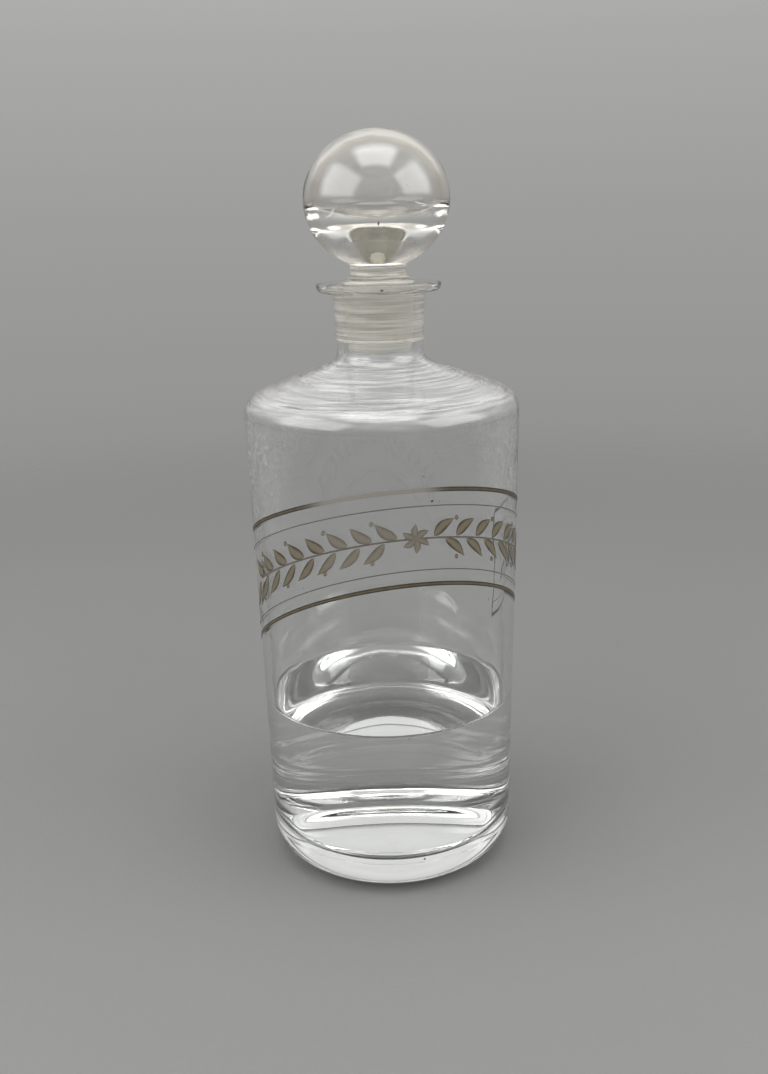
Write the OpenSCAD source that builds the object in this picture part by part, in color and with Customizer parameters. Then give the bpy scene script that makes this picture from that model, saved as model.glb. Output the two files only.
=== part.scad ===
// Apothecary bottle with a hollow globe stopper and its clear contents.
// Millimetres, +Z up, origin on the table under the middle of the base.
// Every solid is a revolve about Z: its half outline is a list of points, where each
// round stretch comes from an arc, an oval or a curve with named sizes.

/* [Body] */
// Height of the bottle from the table to its mouth
bottle_h = 210; // [160:1:260]
// Outer diameter where the wall meets the shoulder
body_d = 96; // [86:1:112]
// Lean of the wall, in degrees from upright: the body widens upwards
wall_lean = 0.96; // [0:0.01:2]
// Thickness of the blown wall
wall_t = 3; // [2:0.1:4]

/* [Shoulder] */
// Outer radius of the shoulder's rounded corner
shoulder_r = 8.3; // [6:0.1:14]
// Slope of the shoulder, in degrees from level
shoulder_slope = 19.8; // [12:0.2:32]
// Radius of the hollow curve that leads the shoulder into the neck
neck_flare_r = 4.5; // [3:0.1:8]

/* [Neck and lip] */
// Outer diameter at the foot of the neck
neck_d = 30; // [28:0.2:36]
// Outer diameter of the neck under the lip
neck_top_d = 31.2; // [29:0.2:37]
// Height of the neck from its flare to the underside of the lip
neck_h = 19.8; // [14:0.2:32]
// Outer diameter of the flat lip
lip_d = 42.6; // [38:0.2:54]
// Thickness of the flat lip
lip_t = 3.1; // [2.4:0.1:5]
// Rounding of the lip's lower edge
lip_under_r = 1.9; // [0.6:0.1:2.2]
// Rounding of the lip's upper edge and of the mouth
lip_top_r = 0.8; // [0.3:0.1:1.2]
// Radius of the corner between the neck and the lip
lip_root_r = 1.2; // [0.4:0.1:2]

/* [Base] */
// Radius of the rounded heel
heel_r = 11.9; // [8:0.1:15]
// Width of the flat ring that the bottle stands on, inside the heel
foot_w = 8.6; // [4:0.1:12]
// Depth of the hollow pressed into the underside
dish_h = 3.6; // [1:0.1:6]
// Rounding of the hollow's edge into the flat ring
dish_round = 2; // [0.5:0.1:4]
// Thickness of the glass under the lowest part of the floor
base_t = 12; // [8:0.1:15]
// Radius of the corner between the inner wall and the floor
inner_heel_r = 6; // [3:0.1:12]
// Rise of the floor from its lowest part to its middle
floor_rise = 11.5; // [2:0.1:16]

/* [Ground joint] */
// Diameter of the ground seat at the mouth
seat_d = 24.4; // [22:0.1:25.2]
// Loss of diameter for each millimetre down the seat
seat_taper = 0.1; // [0.04:0.01:0.12]
// Height of the seat's lower end over the foot of the neck
seat_foot = 4.4; // [2:0.1:8]
// Height of the sloped step below the seat
seat_step_h = 1; // [0.5:0.1:1.8]
// Radial clearance between the plug and the seat
plug_gap = 0.05; // [0.02:0.01:0.1]
// How far the plug reaches below the seat
plug_reach = 4.5; // [2:0.1:7]
// How far the head of the plug stands above the mouth
plug_proud = 0.8; // [0.4:0.1:2]
// Chamfer round the plug's lower end
plug_chamfer = 0.7; // [0.3:0.1:1.2]

/* [Stopper] */
// Diameter of the stem between the plug and the globe
stem_d = 18.8; // [14:0.2:20]
// Width of the globe
globe_d = 49.2; // [40:0.2:60]
// Height of the globe, which is a little flattened
globe_h = 45.2; // [38:0.2:56]
// Height of the stem, from the mouth to the globe
stem_h = 5.9; // [5:0.1:12]
// Thickness of the globe's wall at its top and sides
globe_t = 2.1; // [1.4:0.1:3.2]
// Depth of the bubble's round floor below its widest part
bubble_floor = 11.5; // [9:0.1:14]
// Width of the bubble where its pointed tail begins
tail_d = 22; // [14:0.2:30]
// Glass left between the tail's tip and the foot of the globe
tail_t = 4; // [0.4:0.1:5]
// Width over which the tail's tip is rounded
tip_d = 2; // [1:0.1:6]
// Height over which the tail's tip is rounded
tip_h = 1; // [0.4:0.1:2]
// Softening of the corner between the stem and the globe
globe_root = 1.6; // [0.6:0.1:2.4]

/* [Contents] */
// Height of the liquid's surface over the table
fill_h = 61; // [32:1:150]
// Height that the liquid climbs at the wall
meniscus_h = 1.8; // [0.8:0.1:3]
// Film between the liquid and the glass
film_gap = 0.04; // [0.02:0.01:0.1]

/* [Hidden] */

// Facets of a full turn in the preview mesh
$fn = 128;
// Longest step along an outline's arc, in degrees
arc_step = 7.5;
// Longest step along the globe and its bubble, in degrees
oval_step = 5;
// Points along a free curve
curve_parts = 8;

// Directions in the plane of an outline, in degrees
up = 90;
inward = 180;
down = 270;

glass_colour = [0.86, 0.90, 0.88, 0.45];
frosted_colour = [0.88, 0.86, 0.78, 0.8];
liquid_colour = [0.80, 0.86, 0.88, 0.5];

// Point at a distance and an angle from the origin of the outline's plane
function polar(r, a) = r * [cos(a), sin(a)];

// Points along an arc from angle a0 to angle a1
function arc(c, r, a0, a1) =
    let (n = max(2, ceil(abs(a1 - a0) / arc_step)))
    [for (i = [0:n]) c + polar(r, a0 + (a1 - a0) * i / n)];

// Points along an oval with its own half width and half height
function oval(c, half_w, half_h, a0, a1) =
    let (n = max(2, ceil(abs(a1 - a0) / oval_step)))
    [for (i = [0:n])
        let (a = a0 + (a1 - a0) * i / n)
        c + [half_w * cos(a), half_h * sin(a)]];

// Points along a curve that leaves p0 towards p1 and arrives at p2 from p1
function curve(p0, p1, p2) =
    [for (i = [0:curve_parts])
        let (t = i / curve_parts, s = 1 - t)
        s * s * p0 + 2 * s * t * p1 + t * t * p2];

// Points of a shallow dome from its middle, at height top, out to radius edge_r
function dome(top, edge_r, rise) =
    let (r = (edge_r * edge_r + rise * rise) / (2 * rise), half = asin(edge_r / r))
    arc([0, top - r], r, up, up - half);

// Heights of the mouth, the lip, the foot of the neck and the ground seat
mouth_z = bottle_h;
lip_low_z = mouth_z - lip_t;
neck_z = lip_low_z - neck_h;
seat_low_z = neck_z + seat_foot;

// Rise of the shoulder, from the top of the wall to the foot of the neck: its rounded
// corner, its straight slope and the hollow curve into the neck
corner_out_r = body_d / 2 - shoulder_r / cos(wall_lean) + shoulder_r * sin(shoulder_slope);
flare_out_r = neck_d / 2 + neck_flare_r * (1 - sin(shoulder_slope));
shoulder_rise = (shoulder_r + neck_flare_r) * cos(shoulder_slope)
    + (corner_out_r - flare_out_r) * tan(shoulder_slope);

// Height at which the wall starts to round into the shoulder
wall_h = neck_z - shoulder_rise;

// Radius of the leaning wall at a height, inset square to the wall
function wall_r(z, inset = 0) =
    body_d / 2 + (z - wall_h) * tan(wall_lean) - inset / cos(wall_lean);

// Centres of the arcs that the outer and the inner surface share
shoulder_c = [wall_r(wall_h, shoulder_r), wall_h];
flare_c = [neck_d / 2 + neck_flare_r, neck_z];

// Radius of the ground seat at a height, with an optional clearance
function seat_r(z, gap = 0) = seat_d / 2 - (mouth_z - z) * seat_taper / 2 - gap;

// Centre of the rounded heel
heel_c = [wall_r(heel_r, heel_r), heel_r];

// Half outline of the underside, from its middle out to the flat ring: the shallow hollow
// and the rounding of its edge
function underside() =
    let (
        edge = [heel_c[0] - foot_w, 0],
        slope = 2 * atan(dish_h / edge[0]),
        low = edge + polar(dish_round, inward - slope)
    )
    concat(
        dome(dish_h, low[0], dish_h - low[1]),
        curve(low, edge, edge + [dish_round, 0])
    );

// Half outline of the underside, heel, wall, shoulder, neck and lip
function bottle_outside() =
    let (
        under_r = min(lip_under_r, lip_t - lip_top_r),
        root_c = [neck_top_d / 2 + lip_root_r, lip_low_z - lip_root_r],
        under_c = [lip_d / 2 - under_r, lip_low_z + under_r],
        top_c = [lip_d / 2 - lip_top_r, mouth_z - lip_top_r],
        mouth_c = [seat_r(mouth_z) + lip_top_r, mouth_z - lip_top_r]
    )
    concat(
        underside(),
        arc(heel_c, heel_r, -up, -wall_lean),
        arc(shoulder_c, shoulder_r, -wall_lean, up - shoulder_slope),
        arc(flare_c, neck_flare_r, down - shoulder_slope, inward),
        arc(root_c, lip_root_r, inward, up),
        arc(under_c, under_r, -up, 0),
        arc(top_c, lip_top_r, 0, up),
        arc(mouth_c, lip_top_r, up, inward)
    );

// Half outline of the ground seat and the inside of the neck and shoulder
function bottle_throat() =
    concat(
        [[seat_r(seat_low_z), seat_low_z]],
        [[neck_d / 2 - wall_t, seat_low_z - seat_step_h]],
        arc(flare_c, neck_flare_r + wall_t, inward, down - shoulder_slope),
        arc(shoulder_c, shoulder_r - wall_t, up - shoulder_slope, -wall_lean)
    );

// Half outline of the inner heel and the risen floor, from the wall to the middle: two
// arcs that meet smoothly. A gap moves both inwards, for what fills the bottle.
function bottle_floor(gap = 0) =
    let (
        z = base_t + inner_heel_r,
        c = [wall_r(z, wall_t + inner_heel_r), z],
        slope = 2 * atan(floor_rise / c[0]),
        rise_r = c[0] / sin(slope) - inner_heel_r,
        rise_c = [0, c[1] - c[0] / tan(slope)]
    )
    concat(
        arc(c, inner_heel_r - gap, -wall_lean, -up - slope),
        arc(rise_c, rise_r + gap, up - slope, up)
    );

// Blown vessel: body, thick base, shoulder, neck, ground seat and lip in one glass
module bottle() {
    color(glass_colour)
        rotate_extrude()
            polygon(concat(bottle_outside(), bottle_throat(), bottle_floor()));
}

// Globe: its middle, half sizes and the place where the stem runs into it
globe_a = globe_d / 2;
globe_b = globe_h / 2;
stem_r = stem_d / 2;
stem_angle = acos(stem_r / globe_a);
globe_c = [0, mouth_z + stem_h + globe_b * sin(stem_angle)];
// Turn along the oval over which the corner at the stem is softened
root_angle = atan(globe_root / globe_b);

// Half outline of the plug, stem and globe
function stopper_outside() =
    let (
        foot_z = seat_low_z - plug_reach,
        head_z = mouth_z + plug_proud,
        head_r = seat_r(head_z, plug_gap),
        hollow_r = min(head_r - stem_r, stem_h - plug_proud - globe_root),
        hollow_c = [stem_r + hollow_r, head_z + hollow_r],
        leave = -stem_angle + root_angle,
        corner = [stem_r, globe_c[1] - globe_b * sin(stem_angle)],
        on_globe = globe_c + [globe_a * cos(leave), globe_b * sin(leave)]
    )
    concat(
        [[0, foot_z]],
        [[seat_r(foot_z, plug_gap) - plug_chamfer, foot_z]],
        [[seat_r(foot_z + plug_chamfer, plug_gap), foot_z + plug_chamfer]],
        [[head_r, head_z]],
        arc(hollow_c, hollow_r, down, inward),
        curve(corner - [0, globe_root / 2], corner, on_globe),
        oval(globe_c, globe_a, globe_b, leave + oval_step, up)
    );

// Half outline of the sealed bubble: oval above, round floor and pointed tail below
function stopper_bubble() =
    let (
        a = globe_a - globe_t,
        b = globe_b - globe_t,
        turn = acos(tail_d / 2 / a),
        rim = globe_c + [a * cos(turn), -bubble_floor * sin(turn)],
        tip = [0, mouth_z + stem_h + tail_t]
    )
    concat(
        oval(globe_c, a, b, up, 0),
        oval(globe_c, a, bubble_floor, -oval_step, -turn),
        curve(rim, tip + [tip_d / 2, tip_h], tip)
    );

// Ground plug, stem and hollow globe in one glass
module stopper() {
    color(frosted_colour)
        rotate_extrude()
            difference() {
                polygon(stopper_outside());
                polygon(stopper_bubble());
            }
}

// Clear contents: they fill the base and climb a little at the wall
module liquid() {
    // Angle at which the climbing surface meets the glass
    contact = 20;
    wall_top_r = wall_r(fill_h + meniscus_h, wall_t + film_gap);
    climb_c = [wall_top_r - meniscus_h, fill_h + meniscus_h];
    climb_z = climb_c[1] - meniscus_h * sin(contact);
    color(liquid_colour)
        rotate_extrude()
            polygon(concat(
                [[0, fill_h]],
                arc(climb_c, meniscus_h, -up, -contact),
                [[wall_r(climb_z, wall_t + film_gap), climb_z]],
                bottle_floor(film_gap)
            ));
}

bottle();
stopper();
liquid();
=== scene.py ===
"""Apothecary bottle with a hollow globe stopper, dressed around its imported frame.

The vessel, the stopper and the contents are turned from half outlines, the way a blower
turns glass. The ribbon on the front is cut and stained into the wall. Metres throughout,
+Z up, and -Y towards the front.
"""
import logging
import math
from collections.abc import Callable
from dataclasses import dataclass, field
from enum import Enum
from functools import cached_property

import bpy
from mathutils import Matrix, Vector


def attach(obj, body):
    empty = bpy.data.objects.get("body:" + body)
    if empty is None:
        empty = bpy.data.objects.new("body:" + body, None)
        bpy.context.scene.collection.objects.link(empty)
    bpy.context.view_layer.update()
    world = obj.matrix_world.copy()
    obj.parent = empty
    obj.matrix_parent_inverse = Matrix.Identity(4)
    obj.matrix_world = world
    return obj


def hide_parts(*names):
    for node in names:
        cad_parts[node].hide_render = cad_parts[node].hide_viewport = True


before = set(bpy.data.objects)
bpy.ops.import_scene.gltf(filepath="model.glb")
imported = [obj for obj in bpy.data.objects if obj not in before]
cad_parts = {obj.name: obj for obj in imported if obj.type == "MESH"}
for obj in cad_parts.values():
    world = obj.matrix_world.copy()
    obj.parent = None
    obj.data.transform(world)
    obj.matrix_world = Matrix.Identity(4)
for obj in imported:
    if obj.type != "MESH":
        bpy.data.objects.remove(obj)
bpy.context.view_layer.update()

log = logging.getLogger("bottle")

Point = tuple[float, float]
Outline = list[Point]
# Where something begins and ends along a line or a scale
Span = tuple[float, float]
Place = tuple[float, float, float]
Colour = tuple[float, float, float]
Piece = bpy.types.Object
Socket = bpy.types.NodeSocket
Test = Callable[[Vector], bool]

# Directions in the plane of a half outline, in degrees
UP = 90.0
INWARD = 180.0
DOWN = 270.0

# Copies of a half outline round a full turn
TURN_STEPS = 256
# Points closer than this are one point
WELD = 1e-6
# Edges that turn further than this many degrees stay sharp
SHARP = 28.0
# Bend of light in glass and in the clear contents
GLASS_IOR = 1.5
CONTENTS_IOR = 1.33


class Body(Enum):
    """The two bodies of the frame that pieces ride on."""

    BOTTLE = "bottle"
    STOPPER = "stopper"


class Slot(Enum):
    """The record's material slots."""

    BOTTLE_GLASS = "bottle_glass"
    STOPPER_GLASS = "stopper_glass"
    CLEAR_LIQUID = "clear_liquid"


def polar(radius: float, angle: float) -> Point:
    """Returns the point at a distance and an angle in degrees from the origin."""
    return radius * math.cos(math.radians(angle)), radius * math.sin(math.radians(angle))


def oval(centre: Point, half_w: float, half_h: float, start: float, end: float,
         step: float = 3.0) -> Outline:
    """Lays points along an oval.

    Args:
        centre: Middle of the oval.
        half_w: Half its width.
        half_h: Half its height.
        start: Angle of the first point, in degrees.
        end: Angle of the last point, in degrees.
        step: Longest step between two points, in degrees.

    Returns:
        The points in order, both ends included.
    """
    count = max(2, math.ceil(abs(end - start) / step))
    angles = (start + (end - start) * i / count for i in range(count + 1))
    return [(centre[0] + half_w * polar(1.0, a)[0], centre[1] + half_h * polar(1.0, a)[1])
            for a in angles]


def arc(centre: Point, radius: float, start: float, end: float, step: float = 5.0) -> Outline:
    """Lays points along a circle's arc.

    Args:
        centre: Middle of the circle.
        radius: Its radius.
        start: Angle of the first point, in degrees.
        end: Angle of the last point, in degrees.
        step: Longest step between two points, in degrees.

    Returns:
        The points in order, both ends included.
    """
    return oval(centre, radius, radius, start, end, step)


def curve(start: Point, pull: Point, end: Point, parts: int = 14) -> Outline:
    """Lays points along a curve that leaves start towards pull and arrives from it.

    Args:
        start: First point.
        pull: The point that both ends aim at.
        end: Last point.
        parts: How many parts the curve has.

    Returns:
        The points in order, both ends included.
    """
    points = []
    for i in range(parts + 1):
        t = i / parts
        s = 1 - t
        points.append(tuple(s * s * start[k] + 2 * s * t * pull[k] + t * t * end[k]
                            for k in (0, 1)))
    return points


def dome(top: float, edge: float, rise: float) -> Outline:
    """Lays points along a shallow dome, from its middle out to its edge.

    Args:
        top: Height of the middle.
        edge: Radius of the edge.
        rise: Height of the middle over the edge.

    Returns:
        The points in order, both ends included.
    """
    radius = (edge * edge + rise * rise) / (2 * rise)
    half = math.degrees(math.asin(edge / radius))
    return arc((0.0, top - radius), radius, UP, UP - half, step=half / 12)


def with_rows(points: Outline, longest: float) -> Outline:
    """Splits the long straight stretches of an outline, so that they can ripple.

    Args:
        points: The outline.
        longest: Longest stretch that may stay whole.

    Returns:
        The outline with the added points, and without doubles.
    """
    result = [points[0]]
    for point in points[1:]:
        last = result[-1]
        gap = math.dist(last, point)
        if gap < WELD:
            continue
        parts = max(1, math.ceil(gap / longest))
        for i in range(1, parts + 1):
            result.append((last[0] + (point[0] - last[0]) * i / parts,
                           last[1] + (point[1] - last[1]) * i / parts))
    return result


def relaxed(points: Outline, rounds: int) -> Outline:
    """Smooths an outline, whose two ends stay.

    Args:
        points: The outline.
        rounds: How often each point moves towards the middle of its neighbours.

    Returns:
        The smoother outline.
    """
    for _ in range(rounds):
        points = [points[0], *(tuple((a[k] + 2 * b[k] + c[k]) / 4 for k in (0, 1))
                               for a, b, c in zip(points, points[1:], points[2:])), points[-1]]
    return points


def let_go() -> None:
    """Leaves edit mode and deselects every object."""
    if bpy.context.mode != "OBJECT":
        bpy.ops.object.mode_set(mode="OBJECT")
    bpy.ops.object.select_all(action="DESELECT")


def take(piece: Piece) -> None:
    """Makes a piece the only selected object and the active one."""
    let_go()
    piece.select_set(True)
    bpy.context.view_layer.objects.active = piece


def named(name: str) -> Piece:
    """Names the active object and its mesh, and returns it."""
    piece = bpy.context.object
    piece.name = name
    piece.data.name = name
    return piece


def open_mesh(piece: Piece) -> None:
    """Opens a piece in edit mode, with all of its mesh selected."""
    take(piece)
    bpy.ops.object.mode_set(mode="EDIT")
    bpy.ops.mesh.select_all(action="SELECT")


def use_modifier(piece: Piece, kind: str, **values: object) -> None:
    """Works a modifier into a piece's mesh.

    Args:
        piece: The piece.
        kind: The modifier's type.
        values: The modifier's settings.
    """
    take(piece)
    bpy.ops.object.modifier_add(type=kind)
    modifier = piece.modifiers[-1]
    for key, value in values.items():
        setattr(modifier, key, value)
    bpy.ops.object.modifier_apply(modifier=modifier.name)


def draw_outline(name: str, points: Outline) -> Piece:
    """Draws a half outline in the XZ plane, one extruded point after the other.

    Args:
        name: Name of the new piece.
        points: Radius and height of each point.

    Returns:
        The piece, a chain of edges.
    """
    let_go()
    bpy.ops.mesh.primitive_plane_add(size=1.0)
    piece = named(name)
    open_mesh(piece)
    bpy.ops.mesh.merge(type="CENTER")
    bpy.ops.transform.translate(value=(points[0][0], 0.0, points[0][1]))
    for before, after in zip(points, points[1:]):
        step = (after[0] - before[0], 0.0, after[1] - before[1])
        bpy.ops.mesh.extrude_vertices_move(TRANSFORM_OT_translate={"value": step})
    bpy.ops.object.mode_set(mode="OBJECT")
    return piece


def lathe(name: str, points: Outline, steps: int = TURN_STEPS) -> Piece:
    """Turns a half outline into a closed shell, with its faces outward.

    Args:
        name: Name of the new piece.
        points: The half outline, from one point on the axis to another.
        steps: Copies of the outline round a full turn.

    Returns:
        The turned piece.
    """
    piece = draw_outline(name, points)
    use_modifier(piece, "SCREW", steps=steps, render_steps=steps, use_merge_vertices=True,
                 merge_threshold=WELD)
    open_mesh(piece)
    bpy.ops.mesh.remove_doubles(threshold=WELD)
    bpy.ops.mesh.normals_make_consistent(inside=False)
    bpy.ops.object.mode_set(mode="OBJECT")
    bpy.ops.object.shade_smooth_by_angle(angle=math.radians(SHARP))
    return piece


def join(pieces: list[Piece], name: str) -> Piece:
    """Joins pieces into the first one.

    Args:
        pieces: The pieces, where the first is kept.
        name: Name of the joined piece.

    Returns:
        The joined piece.
    """
    take(pieces[0])
    for piece in pieces[1:]:
        piece.select_set(True)
    if len(pieces) > 1:
        bpy.ops.object.join()
    return named(name)


def turn_inside_out(piece: Piece) -> None:
    """Flips a piece's faces, as the wall of a hollow in glass has them."""
    open_mesh(piece)
    bpy.ops.mesh.flip_normals()
    bpy.ops.object.mode_set(mode="OBJECT")


def spread(piece: Piece, place: Callable[[Vector], Vector]) -> None:
    """Moves every point of a piece by a rule from its place to its new place."""
    for vertex in piece.data.vertices:
        vertex.co = place(vertex.co)
    piece.data.update()


def ease(value: float, low: float, high: float) -> float:
    """Rises smoothly from 0 at low to 1 at high."""
    t = min(1.0, max(0.0, (value - low) / (high - low)))
    return t * t * (3 - 2 * t)


@dataclass(frozen=True)
class Ripple:
    """Unevenness that blowing leaves in a wall of glass.

    Args:
        length: Size of a ripple.
        depth: How far it sinks the surface at most.
    """

    length: float
    depth: float

    def press(self, piece: Piece, name: str, weight: Callable[[Vector], float]) -> None:
        """Sinks a part of a piece's surface by the ripple.

        Args:
            piece: The piece, which keeps its outer size.
            name: Name of the ripple on that piece.
            weight: Share of the depth that a point takes, by its place.
        """
        group = piece.vertex_groups.new(name=name)
        for vertex in piece.data.vertices:
            share = weight(vertex.co)
            if share > 0:
                group.add([vertex.index], share, "REPLACE")
        texture = bpy.data.textures.new(name, "CLOUDS")
        texture.noise_scale = self.length
        texture.noise_depth = 2
        use_modifier(piece, "DISPLACE", texture=texture, texture_coords="LOCAL", vertex_group=name,
                     mid_level=1.0, strength=self.depth)
        piece.vertex_groups.remove(piece.vertex_groups[name])


class Tree:
    """A node tree, with short ways to add to it."""

    def __init__(self, tree: bpy.types.NodeTree) -> None:
        """Takes on a node tree."""
        self.tree = tree

    def add(self, kind: str, **values: object) -> bpy.types.Node:
        """Adds a node.

        Args:
            kind: The node's type.
            values: Its properties, and its inputs by their names in lower case.

        Returns:
            The new node.
        """
        node = self.tree.nodes.new(kind)
        inputs: dict[str, Socket] = {}
        for socket in node.inputs:
            inputs.setdefault(socket.name.lower().replace(" ", "_"), socket)
        for key, value in values.items():
            if key in inputs:
                self.feed(inputs[key], value)
            else:
                setattr(node, key, value)
        return node

    def feed(self, socket: Socket, value: object) -> None:
        """Links an input to another node's output, or sets it to a value."""
        if isinstance(value, Socket):
            self.tree.links.new(value, socket)
        else:
            socket.default_value = value

    def split(self, vector: Socket) -> bpy.types.bpy_prop_collection:
        """Returns the outputs X, Y and Z of a vector."""
        return self.add("ShaderNodeSeparateXYZ", vector=vector).outputs

    def math(self, operation: str, first: object, second: object = 0.0) -> Socket:
        """Works out one value from two.

        Args:
            operation: How, such as ADD or MULTIPLY.
            first: First value or output.
            second: Second value or output.

        Returns:
            The result.
        """
        node = self.add("ShaderNodeMath", operation=operation)
        self.feed(node.inputs[0], first)
        self.feed(node.inputs[1], second)
        return node.outputs["Value"]

    def rise(self, value: Socket, low: float, high: float, start: float = 0.0,
             end: float = 1.0, kind: str = "SMOOTHSTEP") -> Socket:
        """Goes from one number to another while a value rises.

        Args:
            value: The value.
            low: Where it sets off.
            high: Where it arrives.
            start: The number at and below low.
            end: The number at and above high.
            kind: Its course, SMOOTHSTEP or LINEAR.

        Returns:
            The number.
        """
        return self.add("ShaderNodeMapRange", value=value, interpolation_type=kind, from_min=low,
                        from_max=high, to_min=start, to_max=end).outputs["Result"]

    def between(self, value: Socket, begin: Span, end: Span) -> Socket:
        """Marks a stretch with soft ends.

        Args:
            value: The value that runs along it.
            begin: Values between which the mark rises to 1.
            end: Values between which it falls back to 0.

        Returns:
            The mark.
        """
        return self.math("MULTIPLY", self.rise(value, *begin), self.rise(value, *end, 1.0, 0.0))

    def ramp(self, value: Socket,
             stops: list[tuple[float, tuple[float, ...]]]) -> Socket:
        """Turns a value into a colour.

        Args:
            value: The value, from 0 to 1.
            stops: Places along it, each with its colour.

        Returns:
            The colour.
        """
        node = self.add("ShaderNodeValToRGB", fac=value)
        elements = node.color_ramp.elements
        while len(elements) < len(stops):
            elements.new(0.5)
        for element, (position, colour) in zip(elements, stops):
            element.position = position
            element.color = (*colour[:3], 1.0)
        return node.outputs["Color"]


class Nodes(Tree):
    """The nodes of a new material."""

    def __init__(self, name: str) -> None:
        """Starts a new material with one Principled shader."""
        self.material = bpy.data.materials.new(name)
        self.material.use_nodes = True
        super().__init__(self.material.node_tree)
        self.shader = self.tree.nodes["Principled BSDF"]
        self.place = self.add("ShaderNodeTexCoord").outputs["Object"]

    def set(self, **values: object) -> None:
        """Sets or links inputs of the shader, by their names in lower case."""
        for key, value in values.items():
            name = next(s.name for s in self.shader.inputs
                        if s.name.lower().replace(" ", "_") == key)
            self.feed(self.shader.inputs[name], value)

    def stretched(self, scale: Place) -> Socket:
        """Returns Object coordinates scaled along each axis."""
        return self.add("ShaderNodeMapping", vector=self.place, scale=scale).outputs["Vector"]

    def away(self) -> Socket:
        """Returns the distance from the axis."""
        length = self.add("ShaderNodeVectorMath", operation="LENGTH")
        self.feed(length.inputs[0], self.stretched((1.0, 1.0, 0.0)))
        return length.outputs["Value"]

    def noise(self, scale: float, detail: float = 3.0, roughness: float = 0.5,
              place: Socket | None = None) -> Socket:
        """Adds a noise pattern.

        Args:
            scale: How many lumps lie along a metre.
            detail: How many finer layers it has.
            roughness: Share of the finer layers.
            place: Coordinates, or None for Object coordinates.

        Returns:
            The pattern's value, about 0.5 in the middle.
        """
        node = self.add("ShaderNodeTexNoise", vector=place or self.place, scale=scale,
                        detail=detail, roughness=roughness)
        return node.outputs["Fac"]

    def mix(self, share: object, first: object, second: object, blend: str = "MIX") -> Socket:
        """Mixes two colours.

        Args:
            share: How much the second one counts.
            first: First colour or output.
            second: Second colour or output.
            blend: How they mix, such as MIX or MULTIPLY.

        Returns:
            The mixed colour.
        """
        node = self.add("ShaderNodeMix", data_type="RGBA", blend_type=blend)
        for index, value in ((0, share), (6, first), (7, second)):
            self.feed(node.inputs[index], value)
        return node.outputs[2]

    def bump(self, heights: list[tuple[Socket, float]]) -> None:
        """Gives the surface relief.

        Args:
            heights: Patterns, each with its height in metres.
        """
        normal: Socket | None = None
        for pattern, height in heights:
            node = self.add("ShaderNodeBump", height=pattern, distance=height, strength=1.0)
            if normal is not None:
                self.feed(node.inputs["Normal"], normal)
            normal = node.outputs["Normal"]
        self.set(normal=normal)


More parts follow.
